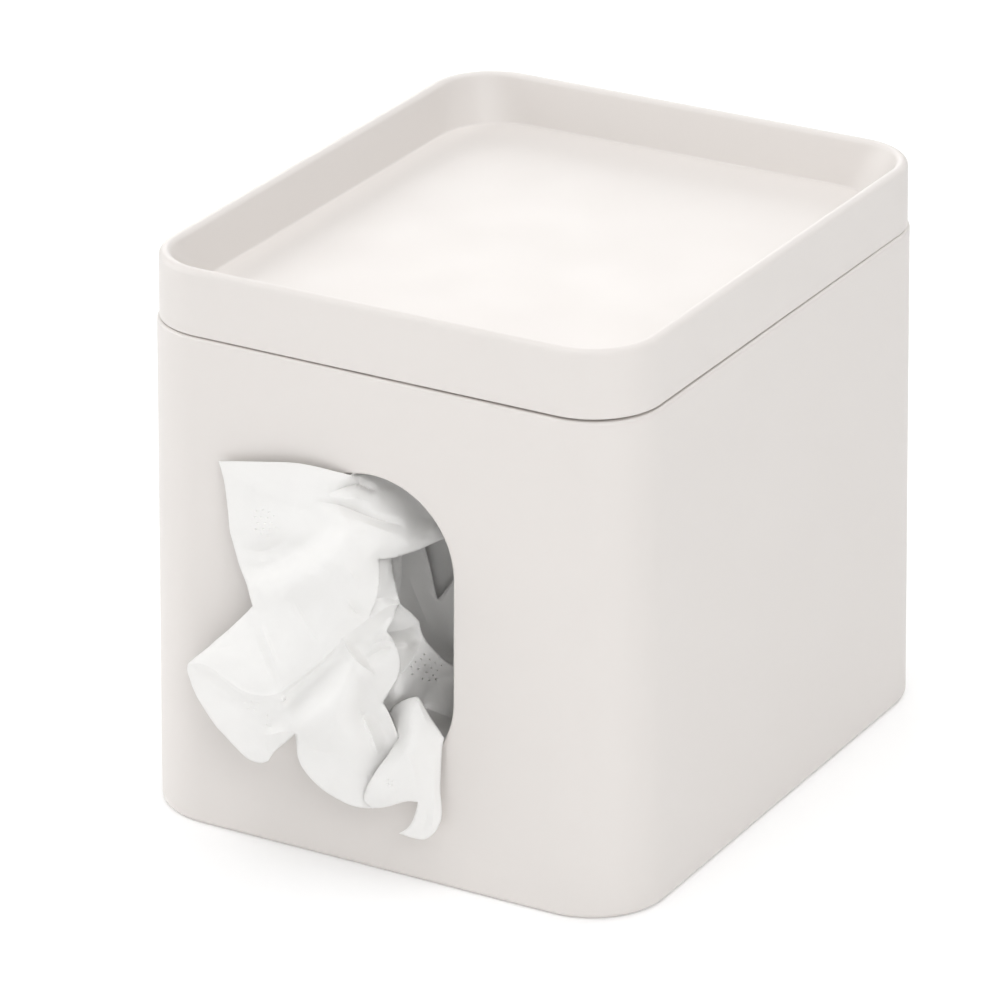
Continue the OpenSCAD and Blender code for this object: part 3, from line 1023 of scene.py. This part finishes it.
def build_stack():
    """The pack of interfolded tissues on its side: layers stacked from front to back, each with soft, slightly uneven edges."""
    hx, z0, z1, y0, y1, rc = 55.7, 2.75, 106.3, -60.7, 58.9, 2.6
    hz, zc = (z1 - z0) / 2, (z0 + z1) / 2
    side, bend = 22, 4
    loop = []
    for cx, cz, a0 in ((hx - rc, hz - rc, 0), (-(hx - rc), hz - rc, 90), (-(hx - rc), -(hz - rc), 180), (hx - rc, -(hz - rc), 270)):
        for k in range(bend + 1):
            a = math.radians(a0 + 90 * k / bend)
            loop.append((cx + rc * math.cos(a), cz + rc * math.sin(a), math.cos(a), math.sin(a)))
    full = []
    for i, p in enumerate(loop):
        q = loop[(i + 1) % len(loop)]
        full.append(p)
        if math.hypot(q[0] - p[0], q[1] - p[1]) > 5:
            full += [tuple(p[c] + (q[c] - p[c]) * k / side for c in range(4)) for k in range(1, side)]
    n = len(full)
    layers = 74
    pitch = (y1 - y0) / layers
    rings = []
    for k in range(layers):
        own = 0.30 * (0.5 + 0.5 * noise.noise(Vector((k * 1.7, 3.1, 0.4))))
        for t, dip in ((0.03, 0.62), (0.22, 0.16), (0.52, 0.0), (0.82, 0.18)):
            rings.append((y0 + (k + t) * pitch, dip + own, k))
    rings.append((y1, 0.62, layers))
    verts, faces = [], []
    for y, dip, k in rings:
        for x, z, nx, nz in full:
            wave = 0.22 * noise.noise(Vector((x * 0.07, z * 0.07, k * 0.9)))
            # the top sags a little between its ends, as soft paper does
            sag = 0.5 * (1 - (x / hx) ** 2) if nz > 0.9 else 0.0
            lean = 0.18 * noise.noise(Vector((x * 0.03, k * 0.33, 5.0)))
            inset = dip + wave + 0.1
            verts.append(Vector(((x - nx * inset) * MM, (y + lean) * MM, (zc + z - nz * inset - sag) * MM)))
    for r in range(len(rings) - 1):
        for i in range(n):
            j = (i + 1) % n
            faces.append((r * n + i, r * n + j, (r + 1) * n + j, (r + 1) * n + i))
    # front and back faces, softly hollowed where tissues have been pulled out
    for front in (True, False):
        prev = list(range(n)) if front else [(len(rings) - 1) * n + i for i in range(n)]
        steps = 18
        for c in range(1, steps + 1):
            f = 1 - c / steps
            if c == steps:
                y = (y0 if front else y1)
                verts.append(Vector((0, (y + (1.4 if front else -0.4)) * MM, zc * MM)))
                centre = len(verts) - 1
                for i in range(n):
                    j = (i + 1) % n
                    faces.append((prev[i], centre, prev[j]) if front else (prev[i], prev[j], centre))
                break
            cur = []
            for x, z, nx, nz in full:
                px, pz = (x - nx * 0.8) * f, (z - nz * 0.8) * f
                rim = 1 - math.exp(-((1 - f) * 14))
                cockle = 0.35 * noise.noise(Vector((px * 0.05, pz * 0.05, 1.0 if front else 7.0))) + 0.12 * noise.noise(Vector((px * 0.16, pz * 0.10, 2.0)))
                if front:
                    hollow = 1.6 * math.exp(-(px ** 2 + (pz - 8) ** 2) / 900.0) + 4.2 * math.exp(-((px - 4) / 17.0) ** 2 - ((pz - 8) / 27.0) ** 2)
                    y = y0 - 0.15 + rim * cockle + hollow
                else:
                    y = y1 + rim * cockle - 0.1
                verts.append(Vector((px * MM, y * MM, (zc + pz) * MM)))
                cur.append(len(verts) - 1)
            for i in range(n):
                j = (i + 1) % n
                faces.append((prev[i], cur[i], cur[j], prev[j]) if front else (prev[i], prev[j], cur[j], cur[i]))
            prev = cur
    ob = new_object("tissue_stack", verts, faces)
    return ob


def tissue_material():
    m, nt, b = node_material("soft_tissue")
    N = nt.nodes
    co = N.new("ShaderNodeTexCoord")
    fibre = N.new("ShaderNodeTexNoise")
    fibre.inputs["Scale"].default_value = 1500.0
    fibre.inputs["Detail"].default_value = 3.0
    cloud = N.new("ShaderNodeTexNoise")
    cloud.inputs["Scale"].default_value = 160.0
    cloud.inputs["Detail"].default_value = 3.0
    nt.links.new(co.outputs["Object"], fibre.inputs["Vector"])
    nt.links.new(co.outputs["Object"], cloud.inputs["Vector"])
    mix = N.new("ShaderNodeMix")
    mix.data_type = "RGBA"
    mix.inputs["A"].default_value = (0.930, 0.922, 0.907, 1)
    mix.inputs["B"].default_value = (0.960, 0.952, 0.937, 1)
    nt.links.new(cloud.outputs["Fac"], mix.inputs["Factor"])
    nt.links.new(mix.outputs["Result"], b.inputs["Base Color"])
    b.inputs["Roughness"].default_value = 0.95
    b.inputs["Specular IOR Level"].default_value = 0.15
    bump = N.new("ShaderNodeBump")
    bump.inputs["Strength"].default_value = 0.25
    bump.inputs["Distance"].default_value = 0.00008
    nt.links.new(fibre.outputs["Fac"], bump.inputs["Height"])
    nt.links.new(bump.outputs["Normal"], b.inputs["Normal"])
    # light comes through the thin paper
    tr = N.new("ShaderNodeBsdfTranslucent")
    nt.links.new(mix.outputs["Result"], tr.inputs["Color"])
    sh = N.new("ShaderNodeMixShader")
    sh.inputs[0].default_value = 0.18
    nt.links.new(b.outputs[0], sh.inputs[1])
    nt.links.new(tr.outputs[0], sh.inputs[2])
    nt.links.new(sh.outputs[0], nt.nodes["Material Output"].inputs["Surface"])
    return m


# --------------------------------------------------------------------- stage
def build_stage():
    """A pale round sweep: floor near the box, curving up far behind it on every side."""
    turns = 72
    profile = [(0.4, 0.0), (0.8, 0.0), (1.2, 0.0), (1.6, 0.0), (2.0, 0.0), (2.4, 0.0), (2.7, 0.0)]
    for k in range(1, 7):
        a = math.radians(15 * k)
        profile.append((2.7 + 0.4 * math.sin(a), 0.4 - 0.4 * math.cos(a)))
    profile += [(3.12, 0.58), (3.13, 0.75)]
    verts, faces = [(0.0, 0.0, 0.0)], []
    for r, z in profile:
        for i in range(turns):
            a = 2 * math.pi * i / turns
            verts.append((r * math.cos(a), r * math.sin(a), z))
    for i in range(turns):
        faces.append((0, 1 + i, 1 + (i + 1) % turns))
    for j in range(len(profile) - 1):
        p, q = 1 + j * turns, 1 + (j + 1) * turns
        for i in range(turns):
            k = (i + 1) % turns
            faces.append((p + i, q + i, q + k, p + k))
    me = bpy.data.meshes.new("floor_sheet")
    me.from_pydata(verts, [], faces)
    me.polygons.foreach_set("use_smooth", [True] * len(me.polygons))
    ob = bpy.data.objects.new("floor_sheet", me)
    scene.collection.objects.link(ob)
    m, nt, b = node_material("pale_floor")
    N = nt.nodes
    co = N.new("ShaderNodeTexCoord")
    far = N.new("ShaderNodeVectorMath")
    far.operation = "LENGTH"
    nt.links.new(co.outputs["Object"], far.inputs[0])
    glow = N.new("ShaderNodeMapRange")
    glow.interpolation_type = "SMOOTHSTEP"
    glow.inputs["From Min"].default_value = 1.5
    glow.inputs["From Max"].default_value = 2.8
    glow.inputs["To Min"].default_value = 0.15
    glow.inputs["To Max"].default_value = 0.32
    nt.links.new(far.outputs["Value"], glow.inputs["Value"])
    nt.links.new(glow.outputs["Result"], b.inputs["Emission Color"])
    b.inputs["Base Color"].default_value = (0.90, 0.90, 0.90, 1)
    b.inputs["Roughness"].default_value = 0.9
    b.inputs["Specular IOR Level"].default_value = 0.1
    b.inputs["Emission Strength"].default_value = 0.85
    me.materials.append(m)


def area_light(name, where, target, size, power, size_y=None, colour=(1, 1, 1)):
    d = bpy.data.lights.new(name, "AREA")
    d.shape = "RECTANGLE"
    d.size = size
    d.size_y = size_y or size
    d.energy = power
    d.color = colour
    ob = bpy.data.objects.new(name, d)
    scene.collection.objects.link(ob)
    ob.location = where
    ob.rotation_euler = (Vector(target) - Vector(where)).to_track_quat("-Z", "Y").to_euler()
    return ob


def build_lights():
    w = bpy.data.worlds.new("studio")
    scene.world = w
    w.use_nodes = True
    bg = w.node_tree.nodes["Background"]
    bg.inputs["Color"].default_value = (1.0, 1.0, 1.0, 1)
    bg.inputs["Strength"].default_value = 0.0
    box, low = (0, 0, 0.1), (0, 0, 0.07)
    area_light("soft_top", (0.0, 0.1, 1.8), box, 1.6, 13.09)
    area_light("soft_top_left", (-1.0, 0.3, 1.5), box, 1.2, 0.84)
    area_light("soft_top_right", (1.0, -0.35, 1.3), box, 1.2, 2.20)
    area_light("soft_top_back", (0.36, 0.95, 1.25), box, 1.2, 5.81)
    area_light("soft_high_front", (0.0, -1.0, 1.7), low, 1.4, 8.60)
    area_light("soft_low_front", (-0.3, -0.9, 0.2), (0, -0.08, 0.04), 0.9, 0.10, 0.3)
    area_light("soft_front_right", (0.79, -0.77, 0.71), (0, 0, 0.08), 0.68, 5.20)
    area_light("soft_front_left", (-1.5, -1.1, 0.7), low, 1.6, 0.30, 1.4)
    area_light("soft_left", (-1.8, -0.45, 0.85), low, 1.5, 19.02)
    area_light("soft_back_left", (-1.0, 1.3, 0.75), box, 1.0, 6.30, 0.7)
    area_light("soft_back", (0.3, 1.7, 0.8), box, 1.0, 1.77, 0.7)


# ---------------------------------------------------------------------- build
make_camera()
build_stage()
build_lights()

WHITE = (0.741, 0.706, 0.679)
shell_mat = plastic("shell_satin", WHITE, 0.42, 0.0)
lid_mat = plastic("lid_satin", WHITE, 0.42, 3.1)

shell = build_shell()
shell.data.materials.append(shell_mat)
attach(shell, "box")
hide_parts("box_shell")

lid = build_lid()
lid.data.materials.append(lid_mat)
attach(lid, "lid")
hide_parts("tray_lid")

tissue = build_tissue()
paper = tissue_material()
tissue.data.materials.append(paper)
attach(tissue, "box")
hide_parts("pulled_tissue")

stack = build_stack()
stack.data.materials.append(paper)
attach(stack, "box")
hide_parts("tissue_pack")

scene.view_settings.view_transform = "Standard"
scene.view_settings.look = "None"
scene.view_settings.exposure = 0.0
scene.view_settings.gamma = 1.0
scene.cycles.use_denoising = True
